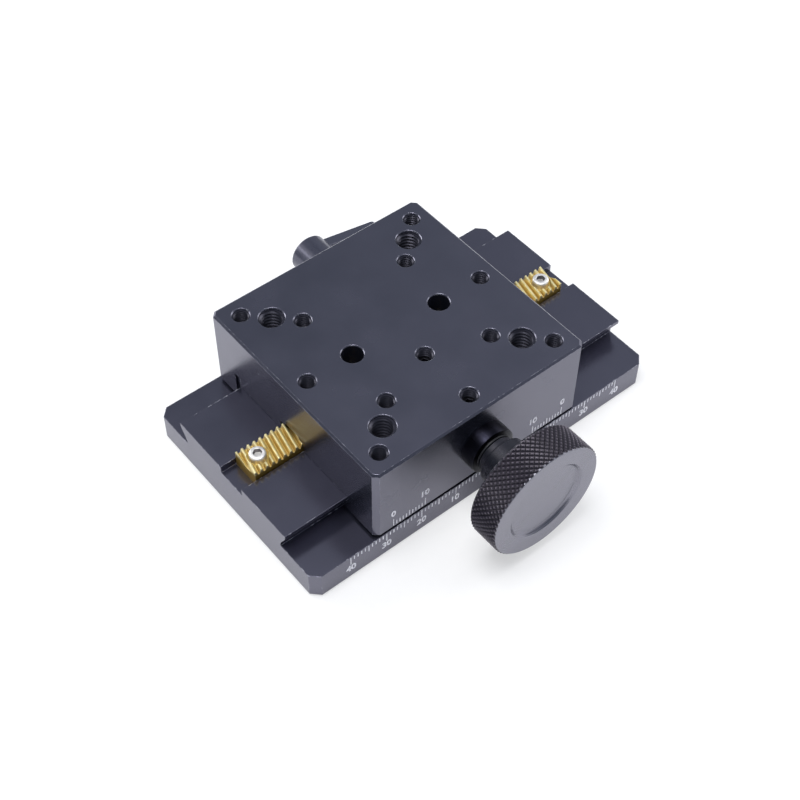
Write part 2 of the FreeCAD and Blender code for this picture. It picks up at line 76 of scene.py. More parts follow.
print("loaded", len(nodes), "nodes, box", [round(v, 4) for corner in cad_box for v in corner])

# %% [markdown]
# Millimetres
#
# Machine parts are drawn in millimetres and Blender works in metres, so every length below
# is written as a number of mm. The middle of each piece is read from the model itself,
# which keeps the looks in step with the solids.

# %% Units and the places that everything hangs on
mm = 0.001
block_low, block_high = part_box("carriage_block")
block_x = (block_low.x + block_high.x) / 2
block_front = block_low.y
block_top = block_high.z
base_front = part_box("base_plate")[0].y
knob_low, knob_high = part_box("knob")
shaft_x = (knob_low.x + knob_high.x) / 2
shaft_z = (knob_low.z + knob_high.z) / 2
knob_face = knob_low.y
print("shaft axis at", round(shaft_x / mm, 3), round(shaft_z / mm, 3), "mm")

# %% [markdown]
# The camera
#
# The picture was taken from the front left and from well above, with a long lens, so the
# edges of the block run almost parallel. A camera looks along its own -Z, and a track
# quaternion turns that towards a target. The small extra turn is the tilt of the picture.
# A camera can be moved by eye until the edges agree, but here it was solved on the lines
# of the engraved scale, whose spacing is known.

# %% Camera
camera_data = bpy.data.cameras.new("camera")
camera_data.lens = 65.03
camera_data.sensor_width = 36
camera = bpy.data.objects.new("camera", camera_data)
bpy.context.scene.collection.objects.link(camera)
camera.location = Vector((-141.56, -168.41, 270.67)) * mm
camera_target = Vector((-7.87, -7.33, 15.0)) * mm
camera_tilt = Euler((0, 0, math.radians(0.645))).to_quaternion()
camera_turn = (camera_target - camera.location).to_track_quat("-Z", "Y") @ camera_tilt
camera.rotation_euler = camera_turn.to_euler()
bpy.context.scene.camera = camera
print("camera is", round((camera_target - camera.location).length, 3), "m from the stage")

# %% [markdown]
# Colours and nodes
#
# A hex code is what a colour picker shows, which is the sRGB value. The shader works with
# linear light, so each channel goes through the sRGB curve once, here.
# A material is a small graph. One function adds a node to it: the keyword settings are the
# node's own options, and the inputs are either numbers or the outputs of earlier nodes.
# A Mix node that is set to colours takes its share on input 0 and its two colours on inputs
# 6 and 7, and gives the mixed colour on output 2.

# %% Helpers for colours and shader nodes
def linear(hex_code):
    channels = [int(hex_code[i:i + 2], 16) / 255 for i in (1, 3, 5)]
    return [c / 12.92 if c <= 0.04045 else ((c + 0.055) / 1.055) ** 2.4 for c in channels] + [1]


def add(tree, kind, inputs=None, **settings):
    made = tree.nodes.new("ShaderNode" + kind)
    for name, value in settings.items():
        setattr(made, name, value)
    for socket, value in (inputs or {}).items():
        if isinstance(value, bpy.types.NodeSocket):
            tree.links.new(value, made.inputs[socket])
        else:
            made.inputs[socket].default_value = value
    return made


def start_material(name):
    material = bpy.data.materials.new(name)
    material.use_nodes = True
    material.node_tree.nodes.clear()
    return material, material.node_tree


def end_material(tree, inputs):
    shader = add(tree, "BsdfPrincipled", inputs)
    add(tree, "OutputMaterial", {"Surface": shader.outputs["BSDF"]})


print("mid grey #808080 is", round(linear("#808080")[0], 4), "in linear light")

# %% [markdown]
# Patterns at their real size
#
# Most patterns are noise, and noise has one lump for each unit of its coordinates. The
# object's own coordinates are in metres, so a Mapping node divides them by the real size of
# a lump. Three different sizes draw it out along an axis, as a cutter's streak is.

# %% Coordinates for a pattern of a real size
def along(tree, sizes):
    place = add(tree, "TexCoord").outputs["Object"]
    scale = [1 / size for size in sizes]
    return add(tree, "Mapping", {"Vector": place, "Scale": scale}).outputs["Vector"]


print("a pattern of 2 mm is scaled by", round(1 / (2 * mm)))

# %% [markdown]
# The studio
#
# The stage stands on a plain white sheet. Four squares each way are plenty for a flat sheet,
# and it lies a hair under the base, so that the two never fight for the same place.

# %% Floor
sheet_reach = 1.6
sheet_drop = 0.05 * mm
floor_mesh = bpy.data.meshes.new("floor")
floor_shape = bmesh.new()
bmesh.ops.create_grid(floor_shape, x_segments=4, y_segments=4, size=sheet_reach)
bmesh.ops.translate(floor_shape, verts=floor_shape.verts, vec=(0, 0, -sheet_drop))
floor_shape.to_mesh(floor_mesh)
floor_shape.free()
floor = bpy.data.objects.new("floor", floor_mesh)
bpy.context.scene.collection.objects.link(floor)
floor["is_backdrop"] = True
print("floor has", len(floor_mesh.polygons), "squares")

# %% [markdown]
# White paper
#
# A real sheet of paper is only as bright as the light on it, so its colour is near white
# and a share of plain white light is added: half of it for the eye, and less for mirrors
# and glass, so that the stage still sees its own shadow on the paper. The share that stays
# keeps the soft shadow. Paper fibres are far finer than the 2 mm of the faint clouds here,
# which is as coarse as they need to be to show at all.

# %% White paper
glow_for_eye = 0.50
glow_for_mirrors = 0.22
paper, tree = start_material("white_paper_sweep")
seen = add(tree, "LightPath")
through = add(tree, "Math", {0: seen.outputs["Is Glossy Ray"],
                             1: seen.outputs["Is Transmission Ray"]}, operation="MAXIMUM")
mirrored = add(tree, "Math", {0: through.outputs[0], 1: glow_for_mirrors},
               operation="MULTIPLY")
direct = add(tree, "Math", {0: seen.outputs["Is Camera Ray"], 1: glow_for_eye},
             operation="MULTIPLY")
share = add(tree, "Math", {0: mirrored.outputs[0], 1: direct.outputs[0]}, operation="MAXIMUM")
fibres = add(tree, "TexNoise", {"Vector": along(tree, [2.0 * mm] * 3), "Scale": 1.0,
                                "Detail": 3}).outputs["Fac"]
tone = add(tree, "Mix", {0: fibres, 6: linear("#fbfbfc"), 7: linear("#ffffff")},
           data_type="RGBA")
matt = add(tree, "BsdfDiffuse", {"Color": tone.outputs[2]})
glow = add(tree, "Emission", {"Color": linear("#ffffff"), "Strength": 1.0})
mixed = add(tree, "MixShader", {0: share.outputs[0], 1: matt.outputs[0], 2: glow.outputs[0]})
add(tree, "OutputMaterial", {"Surface": mixed.outputs[0]})
floor.data.materials.append(paper)
print("the eye gets", glow_for_eye, "of plain white, a mirror", glow_for_mirrors)

# %% [markdown]
# The room
#
# Satin black metal shows almost nothing of its own colour. What the eye sees on it is a dim
# mirror image of the room, so the room matters more than the lamps. A panorama picture
# could stand for the room, but a few smooth steps of grey can be set one at a time.
# The walls are pale near the floor and darker higher up, which keeps the top of the block
# dark. They are a little paler on the right, and a pale panel hangs straight above. A small
# window high up on the left draws the soft streak along the hub and the lever.
# The eye itself sees plain white beyond the sheet.

# %% Room
window_direction = Vector((-0.41, 0.49, 0.77)).normalized()
window_edge, window_core = 0.978, 0.992
room = bpy.data.worlds.new("room")
bpy.context.scene.world = room
room.use_nodes = True
tree = room.node_tree
tree.nodes.clear()
looking = add(tree, "TexCoord").outputs["Generated"]
direction = add(tree, "SeparateXYZ", {0: looking})
rightward = add(tree, "MapRange", {"Value": direction.outputs["X"], "From Min": 0.30,
                                   "From Max": 0.55}).outputs["Result"]
upper = add(tree, "Mix", {0: rightward, 6: linear("#7c838c"), 7: linear("#a9afb9")},
            data_type="RGBA")
climb = add(tree, "MapRange", {"Value": direction.outputs["Z"], "From Min": 0.14,
                               "From Max": 0.40}, interpolation_type="SMOOTHSTEP")
wall = add(tree, "Mix", {0: climb.outputs["Result"], 6: linear("#a0a3ab"),
                         7: upper.outputs[2]}, data_type="RGBA")
above = add(tree, "MapRange", {"Value": direction.outputs["Z"], "From Min": 0.74,
                               "From Max": 0.95}, interpolation_type="SMOOTHSTEP")
ceiling = add(tree, "Mix", {0: above.outputs["Result"], 6: wall.outputs[2],
                            7: linear("#e6e9f2")}, data_type="RGBA")
facing = add(tree, "VectorMath", {0: looking, 1: window_direction}, operation="DOT_PRODUCT")
pane = add(tree, "MapRange", {"Value": facing.outputs["Value"], "From Min": window_edge,
                              "From Max": window_core}, interpolation_type="SMOOTHSTEP")
seen_room = add(tree, "Mix", {0: pane.outputs["Result"], 6: ceiling.outputs[2],
                              7: linear("#ffffff")}, data_type="RGBA")
eye = add(tree, "LightPath").outputs["Is Camera Ray"]
backdrop = add(tree, "Mix", {0: eye, 6: seen_room.outputs[2], 7: linear("#ffffff")},
               data_type="RGBA")
sky = add(tree, "Background", {"Color": backdrop.outputs[2], "Strength": 1.0})
add(tree, "OutputWorld", {"Surface": sky.outputs[0]})
print("the window is", round(math.degrees(2 * math.acos(window_edge))), "degrees wide")

# %% [markdown]
# The softboxes
#
# One large softbox hangs overhead, a little to the left, so the knob shades the paper under
# it. A weak one fills in from low on the right, and a small low one behind on the left
# brightens the paper that the left ends mirror, while the front stays in the shade. It
# also lights the brass and the tips of the knurl.
# A lamp shines along its own -Z, so the same track quaternion as the camera's aims it. The
# table gives each lamp's place, what it is aimed at, its size and its power in watts.

# %% Softboxes
softboxes = {
    "key_softbox": (Vector((-0.12, -0.04, 0.56)), Vector((0, 0, 0)), 0.26, 2.0),
    "fill_softbox": (Vector((0.55, -0.10, 0.30)), Vector((0, 0, 0.02)), 0.40, 1.4),
    "rim_softbox": (Vector((-0.15, 0.35, 0.15)), Vector((-0.03, 0, 0)), 0.24, 0.8),
}
for name, (place, target, size, power) in softboxes.items():
    lamp = bpy.data.lights.new(name, "AREA")
    lamp.shape = "SQUARE"
    lamp.size = size
    lamp.energy = power
    holder = bpy.data.objects.new(name, lamp)
    bpy.context.scene.collection.objects.link(holder)
    holder.location = place
    holder.rotation_euler = (target - place).to_track_quat("-Z", "Y").to_euler()
    print(name, "is", round(place.length, 2), "m away")
bpy.context.scene.view_settings.view_transform = "Standard"

# %% [markdown]
# Edges that catch the light
#
# No machined edge is perfectly sharp, and the thin line of light on it is what makes a part
# look real. A Bevel modifier would change the shape, and the solids have to stay as they are,
# so the Bevel node only turns the surface's direction near an edge. Where that rounded
# direction leaves the flat one, the same difference gives a mask that lightens the colour along
# the edge, partly as dye worn thin and partly as a painted highlight. Real wear isn't even: an
# edge is knocked here and there, so the mask is broken up by a noise about 1.3 mm long, and the
# pale specks it gives are partly chips and partly painted glints.

# %% Rounded edges and a mask for their wear and painted highlight
def soft_edges(tree, radius):
    rounded = add(tree, "Bevel", {"Radius": radius}, samples=6).outputs["Normal"]
    flat = add(tree, "NewGeometry").outputs["Normal"]
    agreement = add(tree, "VectorMath", {0: rounded, 1: flat}, operation="DOT_PRODUCT")
    edge_wear_and_sheen = add(tree, "MapRange", {"Value": agreement.outputs["Value"], "From Min": 0.985,
                                  "From Max": 0.80}).outputs["Result"]
    return rounded, edge_wear_and_sheen


def knocks(tree, edge_wear_and_sheen):
    bumps = add(tree, "TexNoise", {"Vector": along(tree, [1.3 * mm] * 3), "Scale": 1.0,
                                   "Detail": 2}).outputs["Fac"]
    struck = add(tree, "MapRange", {"Value": bumps, "From Min": 0.53, "From Max": 0.60})
    return add(tree, "Math", {0: edge_wear_and_sheen, 1: struck.outputs["Result"]},
               operation="MULTIPLY").outputs[0]


print("edges are rounded by 0.12 to 0.3 mm, as each finish asks")

# %% [markdown]
# Black anodised aluminium
#
# The block and the base are milled, blasted with fine beads and then anodised: the surface
# is turned into a thin clear oxide that holds black dye. The oxide is hard and glassy, with
# an index near 1.77, and the metal just under it adds to the reflection, so the specular
# level goes up. The eye gets a blue-black satin: pale where it mirrors the floor at a low
# angle, dark where it faces the ceiling.
# Three patterns make it real. Clouds 14 mm wide are where the dye took unevenly, streaks
# 0.3 mm wide are what is left of the cutter's path under the blasting, and a grain of
# 0.25 mm stands for the bead marks, which are finer on the real part.

# %% Black anodised aluminium
def black_anodised(name, dark, pale, rough, edge):
    material, tree = start_material(name)
    rounded, edge_wear_and_sheen = soft_edges(tree, edge)
    clouds = add(tree, "TexNoise", {"Vector": along(tree, [14 * mm] * 3), "Scale": 1.0,
                                    "Detail": 3, "Roughness": 0.55}).outputs["Fac"]
    streak_sizes = [30 * mm, 0.3 * mm, 0.3 * mm]
    streaks = add(tree, "TexNoise", {"Vector": along(tree, streak_sizes), "Scale": 1.0,
                                     "Detail": 2}).outputs["Fac"]
    grain = add(tree, "TexNoise", {"Vector": along(tree, [0.25 * mm] * 3), "Scale": 1.0,
                                   "Detail": 2}).outputs["Fac"]
    dyed = add(tree, "Mix", {0: clouds, 6: linear(dark), 7: linear(pale)}, data_type="RGBA")
    # The edges are lightened, partly as dye worn thin and partly as a painted highlight, and
    # the pale specks are partly chips and partly painted glints.
    edge_wear_and_sheen_share = add(tree, "Math", {0: edge_wear_and_sheen, 1: 0.25}, operation="MULTIPLY").outputs[0]
    worn_and_lit_edges = add(tree, "Mix", {0: edge_wear_and_sheen_share, 6: dyed.outputs[2], 7: linear("#8b8e99")},
                  data_type="RGBA")
    shown = add(tree, "Mix", {0: knocks(tree, edge_wear_and_sheen), 6: worn_and_lit_edges.outputs[2],
                              7: linear("#d9dbe3")}, data_type="RGBA")
    patchy = add(tree, "MapRange", {"Value": clouds, "From Min": 0.3, "From Max": 0.7,
                                    "To Min": rough, "To Max": rough + 0.08})
    lined = add(tree, "Bump", {"Height": streaks, "Strength": 0.5, "Distance": 0.0015 * mm,
                               "Normal": rounded})
    beaded = add(tree, "Bump", {"Height": grain, "Strength": 0.5, "Distance": 0.004 * mm,
                                "Normal": lined.outputs["Normal"]})
    end_material(tree, {"Base Color": shown.outputs[2],
                        "Roughness": patchy.outputs["Result"], "IOR": 1.77,
                        "Specular IOR Level": 1.0, "Specular Tint": linear("#e8e6ff"),
                        "Normal": beaded.outputs["Normal"]})
    return material


anodised_block = black_anodised("black_anodised_milled", "#16181f", "#1d1f28", 0.205, 0.16 * mm)
anodised_base = black_anodised("black_anodised_base", "#15161f", "#1c1d27", 0.19, 0.26 * mm)
print("made", anodised_block.name, "and", anodised_base.name)

# %% [markdown]
# Anodised threads
#
# The flanks of a thread are cut by a tap and never blasted, so they are a little torn, in marks
# of about 0.3 mm, and they are too narrow for a rounded edge. They are duller than the faces,
# and their colour is darker, which is painted shade that keeps the holes dark.

# %% Anodised threads
anodised_thread_shaded, tree = start_material("black_anodised_thread_shaded")
torn = add(tree, "TexNoise", {"Vector": along(tree, [0.3 * mm] * 3), "Scale": 1.0,
                              "Detail": 3}).outputs["Fac"]
# The darker colour is painted shade in the holes.
dyed = add(tree, "Mix", {0: torn, 6: linear("#0e0e14"), 7: linear("#1d1e27")},
           data_type="RGBA")
rough_cut = add(tree, "Bump", {"Height": torn, "Strength": 0.5, "Distance": 0.006 * mm})
end_material(tree, {"Base Color": dyed.outputs[2], "Roughness": 0.34, "IOR": 1.6,
                    "Specular Tint": linear("#e8e6ff"),
                    "Normal": rough_cut.outputs["Normal"]})
print("made", anodised_thread_shaded.name)

# %% [markdown]
# Turned surfaces
#
# A lathe leaves fine rings round the axis of a part. The rings are a Wave texture whose
# pattern is centred on the axis by a Mapping node: the texture has one ring for every
# 0.314 of its own units, so the mapping scale is 0.314 divided by the real ring spacing.
# Rings as fine as the real ones would only shimmer, so they are drawn 0.35 mm apart.

# %% Lathe rings
ring_unit = 2 * math.pi / 20


def lathe_rings(tree, axis, centre, spacing):
    place = add(tree, "TexCoord").outputs["Object"]
    step = ring_unit / spacing
    centred = add(tree, "Mapping", {"Vector": place, "Location": [-c * step for c in centre],
                                    "Scale": [step] * 3}).outputs["Vector"]
    return add(tree, "TexWave", {"Vector": centred, "Scale": 1.0, "Distortion": 0.6,
                                 "Detail": 2, "Detail Scale": 0.6},
               wave_type="RINGS", rings_direction=axis).outputs["Fac"]


print("one ring is", round(ring_unit, 3), "texture units")

# %% [markdown]
# Turned black anodised aluminium
#
# The knob comes off a lathe and is anodised without blasting, so its flat face has fine
# rings and mirrors more of the pale floor than the block does: the eye gets almost a grey.
# The hub behind it is a darker copy of the same oxide, with a darker colour and a weaker
# reflection as painted shade, so it stays dark.

# %% Turned black anodised aluminium
def turned_anodised(name, centre, dark, pale, rough, index, level):
    material, tree = start_material(name)
    rounded, edge_wear_and_sheen = soft_edges(tree, 0.12 * mm)
    rings = lathe_rings(tree, "Y", centre, 0.35 * mm)
    clouds = add(tree, "TexNoise", {"Vector": along(tree, [9 * mm] * 3), "Scale": 1.0,
                                    "Detail": 3}).outputs["Fac"]
    dyed = add(tree, "Mix", {0: clouds, 6: linear(dark), 7: linear(pale)}, data_type="RGBA")
    # The edges are lightened, partly as wear and partly as a painted highlight.
    edge_wear_and_sheen_share = add(tree, "Math", {0: edge_wear_and_sheen, 1: 0.45}, operation="MULTIPLY").outputs[0]
    shown = add(tree, "Mix", {0: edge_wear_and_sheen_share, 6: dyed.outputs[2], 7: linear("#9da0aa")},
                data_type="RGBA")
    ringed = add(tree, "MapRange", {"Value": rings, "To Min": rough - 0.04,
                                    "To Max": rough + 0.04}).outputs["Result"]
    cut = add(tree, "Bump", {"Height": rings, "Strength": 0.35, "Distance": 0.002 * mm,
                             "Normal": rounded})
    end_material(tree, {"Base Color": shown.outputs[2], "Roughness": ringed, "IOR": index,
                        "Specular IOR Level": level, "Specular Tint": linear("#f3f1ff"),
                        "Normal": cut.outputs["Normal"]})
    return material


knob_centre = Vector((shaft_x, 0, shaft_z))
anodised_knob = turned_anodised("black_anodised_face", knob_centre, "#1e1f27", "#282932",
                                0.27, 2.1, 1.0)
# A darker copy of the knob's oxide, which paints shade on the hub and the back.
anodised_hub_shaded = turned_anodised("black_anodised_hub_shaded", knob_centre, "#0f1016", "#16171e",
                               0.30, 1.6, 0.5)

print("made", anodised_knob.name, "and", anodised_hub_shaded.name)

# %% [markdown]
# Knurled black anodised aluminium
#
# Knurling crushes the skin. The tips of the pyramids are painted pale, partly as metal that the
# fingers rub bare and partly as a painted highlight, more in some places 5 mm wide than in
# others, and the grooves are painted near black, partly as dark dye and oil and partly as
# painted shade. The distance from the knob's axis tells a tip from a groove, and the eye gets
# rows of pale dots on black.

# %% Knurled black anodised aluminium
# Farther out than this the tips are painted pale: partly bare metal, partly a painted
# highlight.
bright_tips_from, bright_tips_to = 14.84 * mm, 14.97 * mm
anodised_knurl, tree = start_material("black_anodised_knurl")
from_axis = add(tree, "Mapping", {"Vector": add(tree, "TexCoord").outputs["Object"],
                                  "Location": [-shaft_x, 0, -shaft_z], "Scale": [1, 0, 1]})
radius = add(tree, "VectorMath", {0: from_axis.outputs["Vector"]}, operation="LENGTH")
tips = add(tree, "MapRange", {"Value": radius.outputs["Value"], "From Min": bright_tips_from,
                              "From Max": bright_tips_to}).outputs["Result"]
hands = add(tree, "TexNoise", {"Vector": along(tree, [5 * mm] * 3), "Scale": 1.0,
                               "Detail": 3}).outputs["Fac"]
use = add(tree, "MapRange", {"Value": hands, "From Min": 0.35, "From Max": 0.65, "To Min": 0.35,
                             "To Max": 0.9}).outputs["Result"]
tip_wear_and_highlight = add(tree, "Math", {0: tips, 1: use}, operation="MULTIPLY").outputs[0]
knurl_wear_and_painted_light = add(tree, "Mix", {0: tip_wear_and_highlight, 6: linear("#17151b"), 7: linear("#716a76")},
              data_type="RGBA")
end_material(tree, {"Base Color": knurl_wear_and_painted_light.outputs[2], "Roughness": 0.32, "IOR": 1.6,
                    "Specular Tint": linear("#f6ecff")})
print("made", anodised_knurl.name)

# %% [markdown]
# Bare metals
#
# A bare metal has no colour of its own under the reflection: the reflection itself is
# tinted. So the metals are fully metallic, their base colour is the tint, and what sets
# them apart is how rough the cutter, the polish or the years have left them.
# Free-cutting brass is yellow with a hint of green, and turns browner in the places that
# nothing rubs. Bearing bronze is redder. Stainless steel is a warm pale grey, and a darker copy
# of it paints shade on the walls of a socket. Ground steel is bluer, blued steel is nearly
# black, and black oxide is a thin dark layer that shines like wet slate.
# Each call gives the clean and the tarnished tint, the roughness, the size of the tarnished
# patches, and the size and the depth of the scratches.

# %% Bare metals
def bare_metal(name, clean, tarnished, rough, patch, scratch_sizes, scratch_depth):
    material, tree = start_material(name)
    rounded, edge_wear_and_sheen = soft_edges(tree, 0.14 * mm)
    patches = add(tree, "TexNoise", {"Vector": along(tree, [patch] * 3), "Scale": 1.0,
                                     "Detail": 4, "Roughness": 0.6}).outputs["Fac"]
    spread = add(tree, "MapRange", {"Value": patches, "From Min": 0.38,
                                    "From Max": 0.68}).outputs["Result"]
    # The edges stay clear of tarnish, partly as wear and partly as a painted highlight.
    kept = add(tree, "Math", {0: spread, 1: edge_wear_and_sheen}, operation="SUBTRACT", use_clamp=True)
    tint = add(tree, "Mix", {0: kept.outputs[0], 6: linear(clean), 7: linear(tarnished)},
               data_type="RGBA")
    scratches = add(tree, "TexNoise", {"Vector": along(tree, scratch_sizes), "Scale": 1.0,
                                       "Detail": 3}).outputs["Fac"]
    uneven = add(tree, "MapRange", {"Value": scratches, "From Min": 0.3, "From Max": 0.7,
                                    "To Min": rough - 0.06, "To Max": rough + 0.08})
    scored = add(tree, "Bump", {"Height": scratches, "Strength": 0.6,
                                "Distance": scratch_depth, "Normal": rounded})
    end_material(tree, {"Base Color": tint.outputs[2], "Metallic": 1.0,
                        "Roughness": uneven.outputs["Result"],
                        "Normal": scored.outputs["Normal"]})
    return material


turned_brass = bare_metal("brass_turned", "#fbeeb6", "#c9b372", 0.36, 3 * mm,
                          [0.2 * mm, 4 * mm, 0.2 * mm], 0.003 * mm)
turned_bronze = bare_metal("bronze_turned", "#cf9f67", "#a06f3c", 0.32, 3 * mm,
                           [0.2 * mm, 0.2 * mm, 2 * mm], 0.003 * mm)
stainless = bare_metal("stainless_steel_pressed", "#fffdfa", "#e9e7e4", 0.46, 1.5 * mm,
                       [0.25 * mm] * 3, 0.002 * mm)
ground_steel = bare_metal("steel_ground", "#cfd2d8", "#a5a8ae", 0.22, 2 * mm,
                          [0.15 * mm, 3 * mm, 0.15 * mm], 0.002 * mm)
black_oxide = bare_metal("steel_black_oxide", "#45454d", "#2a2a31", 0.34, 1.5 * mm,
                         [0.3 * mm] * 3, 0.004 * mm)
bush_steel = bare_metal("steel_blued_turned", "#1f1f28", "#14141a", 0.32, 4 * mm,
                        [0.2 * mm, 3 * mm, 0.2 * mm], 0.003 * mm)
# The darker tint is painted shade on the walls of the sockets.
shaded_socket_steel = bare_metal("stainless_steel_socket_shade", "#6d6a6c", "#3f3d40", 0.38, 1.0 * mm,
                          [0.2 * mm] * 3, 0.004 * mm)
print("made", len(bpy.data.materials), "materials so far")

# %% [markdown]
# Brass of the rack
#
# The rack's teeth are cut with a hob, and the pinion rolls over their crests every day. The
# crests are painted pale and the roots duller and yellower, partly as polish on the crests and
# oil and dust between the teeth, and partly as a painted highlight on the crests and painted
# shade in the roots. The height above the base tells one from the other, and the eye gets pale
# crests on duller, yellower roots. The hob leaves streaks 0.2 mm wide across the rack.

# %% Brass with bright crests and dull roots
hobbed_brass, tree = start_material("brass_hobbed")
rounded, edge_wear_and_sheen = soft_edges(tree, 0.16 * mm)
crest_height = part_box("rack")[1].z
height = add(tree, "SeparateXYZ", {0: add(tree, "TexCoord").outputs["Object"]}).outputs["Z"]
up_a_tooth = add(tree, "MapRange", {"Value": height, "From Min": crest_height - 1.3 * mm,
                                    "From Max": crest_height - 0.15 * mm}).outputs["Result"]
grime = add(tree, "TexNoise", {"Vector": along(tree, [2.5 * mm] * 3), "Scale": 1.0,
                               "Detail": 4}).outputs["Fac"]
cleaned = add(tree, "MapRange", {"Value": grime, "From Min": 0.35, "From Max": 0.6,
                                 "To Min": 0.75, "To Max": 1.0}).outputs["Result"]
# Crests are painted bright and roots dark by their height: partly polish and oil, partly
# painted highlight and painted shade.
polish_and_crest_highlight = add(tree, "Math", {0: up_a_tooth, 1: cleaned}, operation="MULTIPLY").outputs[0]
polish_wear_and_sheen = add(tree, "Math", {0: polish_and_crest_highlight, 1: edge_wear_and_sheen}, operation="ADD",
                 use_clamp=True).outputs[0]
tint = add(tree, "Mix", {0: polish_wear_and_sheen, 6: linear("#c09f48"), 7: linear("#fff3bc")},
           data_type="RGBA")
cutter = add(tree, "TexNoise", {"Vector": along(tree, [0.2 * mm, 4 * mm, 0.2 * mm]),
                                "Scale": 1.0, "Detail": 3}).outputs["Fac"]
uneven = add(tree, "MapRange", {"Value": cutter, "From Min": 0.3, "From Max": 0.7,
                                "To Min": 0.40, "To Max": 0.52})
scored = add(tree, "Bump", {"Height": cutter, "Strength": 0.6, "Distance": 0.003 * mm,
                            "Normal": rounded})
end_material(tree, {"Base Color": tint.outputs[2], "Metallic": 1.0,
                    "Roughness": uneven.outputs["Result"], "Normal": scored.outputs["Normal"]})
print("made", hobbed_brass.name)

# %% [markdown]
# Plastic and paint
#
# The friction washer is cut from black acetal sheet, a waxy plastic that slides well. The
# lever is a zinc casting with a baked powder coat: black, half matt and faintly pebbled
# like orange peel, with pebbles about 0.5 mm wide.

# %% Acetal and powder coat
acetal, tree = start_material("acetal_sheet_black")
haze = add(tree, "TexNoise", {"Vector": along(tree, [0.8 * mm] * 3), "Scale": 1.0,
                              "Detail": 3}).outputs["Fac"]
waxy = add(tree, "Mix", {0: haze, 6: linear("#17181c"), 7: linear("#24252a")},
           data_type="RGBA")
sawn = add(tree, "Bump", {"Height": haze, "Strength": 0.4, "Distance": 0.004 * mm})
end_material(tree, {"Base Color": waxy.outputs[2], "Roughness": 0.42, "IOR": 1.48,
                    "Normal": sawn.outputs["Normal"]})

powder_coat, tree = start_material("powder_coat_black")
rounded, edge_wear_and_sheen = soft_edges(tree, 0.3 * mm)
pebbles = add(tree, "TexNoise", {"Vector": along(tree, [0.5 * mm] * 3), "Scale": 1.0,
                                 "Detail": 1}).outputs["Fac"]
clouds = add(tree, "TexNoise", {"Vector": along(tree, [6 * mm] * 3), "Scale": 1.0,
                                "Detail": 2}).outputs["Fac"]
baked = add(tree, "Mix", {0: clouds, 6: linear("#262832"), 7: linear("#32343f")},
            data_type="RGBA")
# The edges are lightened, partly as chips and partly as a painted highlight.
chips_and_sheen = add(tree, "Math", {0: edge_wear_and_sheen, 1: 0.15}, operation="MULTIPLY").outputs[0]
coat = add(tree, "Mix", {0: chips_and_sheen, 6: baked.outputs[2], 7: linear("#77797f")},
           data_type="RGBA")
peel = add(tree, "Bump", {"Height": pebbles, "Strength": 0.5, "Distance": 0.012 * mm,
                          "Normal": rounded})
patchy = add(tree, "MapRange", {"Value": clouds, "To Min": 0.20, "To Max": 0.28})
end_material(tree, {"Base Color": coat.outputs[2], "Roughness": patchy.outputs["Result"],
                    "IOR": 1.6, "Specular IOR Level": 0.8, "Specular Tint": linear("#e8e6ff"),
                    "Normal": peel.outputs["Normal"]})
print("made", acetal.name, "and", powder_coat.name)

# %% [markdown]
# Engraving paint
#
# The scale is cut into the metal and filled with white paint, then wiped. The fill is
# matt and a little grey where the wipe took some of it away, in patches of about 0.6 mm.

# %% Engraving paint
engraving_paint, tree = start_material("engraving_paint_white")
wiped = add(tree, "TexNoise", {"Vector": along(tree, [0.6 * mm] * 3), "Scale": 1.0,
                               "Detail": 2}).outputs["Fac"]
thin = add(tree, "MapRange", {"Value": wiped, "From Min": 0.35, "From Max": 0.7})
fill_colour = add(tree, "Mix", {0: thin.outputs["Result"], 6: linear("#f4f3f8"),
                                7: linear("#cdccd6")}, data_type="RGBA")
chalky = add(tree, "Bump", {"Height": wiped, "Strength": 0.4, "Distance": 0.003 * mm})
end_material(tree, {"Base Color": fill_colour.outputs[2], "Roughness": 0.62, "IOR": 1.5,
                    "Normal": chalky.outputs["Normal"]})
print("made", engraving_paint.name)

# %% [markdown]
# The finish of each solid
#
# The solids already carry slots for their finishes. A material goes into the slot and the
# mesh stays as it is.

# %% Finishes on the solids
finish_of = {
    "base_plate": anodised_base,
    "carriage_block": anodised_block,
    "rack": hobbed_brass,
    "gib_strip": anodised_block,
    "clamp_pad": turned_brass,
    "rear_bush": turned_bronze,
    "front_bush": bush_steel,
    "pinion_shaft": ground_steel,
    "rack_screws": stainless,
    "gib_screws": black_oxide,
    "bush_lock_screws": black_oxide,
    "knob_set_screws": black_oxide,
    "lever_screw": stainless,
    "clamp_stud": ground_steel,
    "serrated_insert": black_oxide,
    "lever_spring": stainless,
    "inner_thrust_washer": turned_bronze,
    "friction_washer": acetal,
    "lever_handle": powder_coat,
    "knob": anodised_knob,
}
for name, material in finish_of.items():
    for place in nodes[name].material_slots:
        place.material = material
print("finished", len(finish_of), "of", len(nodes), "nodes")

# %% [markdown]
# Making a piece from a bmesh
#
# A bmesh is a mesh that can be edited in code. When its shape is done it becomes a mesh on
# an object that stands at the origin, so the place of the piece is in its points.
# Faces are shaded smooth, and edges that turn by more than 30 degrees are marked sharp.
# A piece rides on the body it belongs to, when it is given one.

# %% From a bmesh to a finished piece
sharp_turn = math.radians(30)
weld = 0.001 * mm


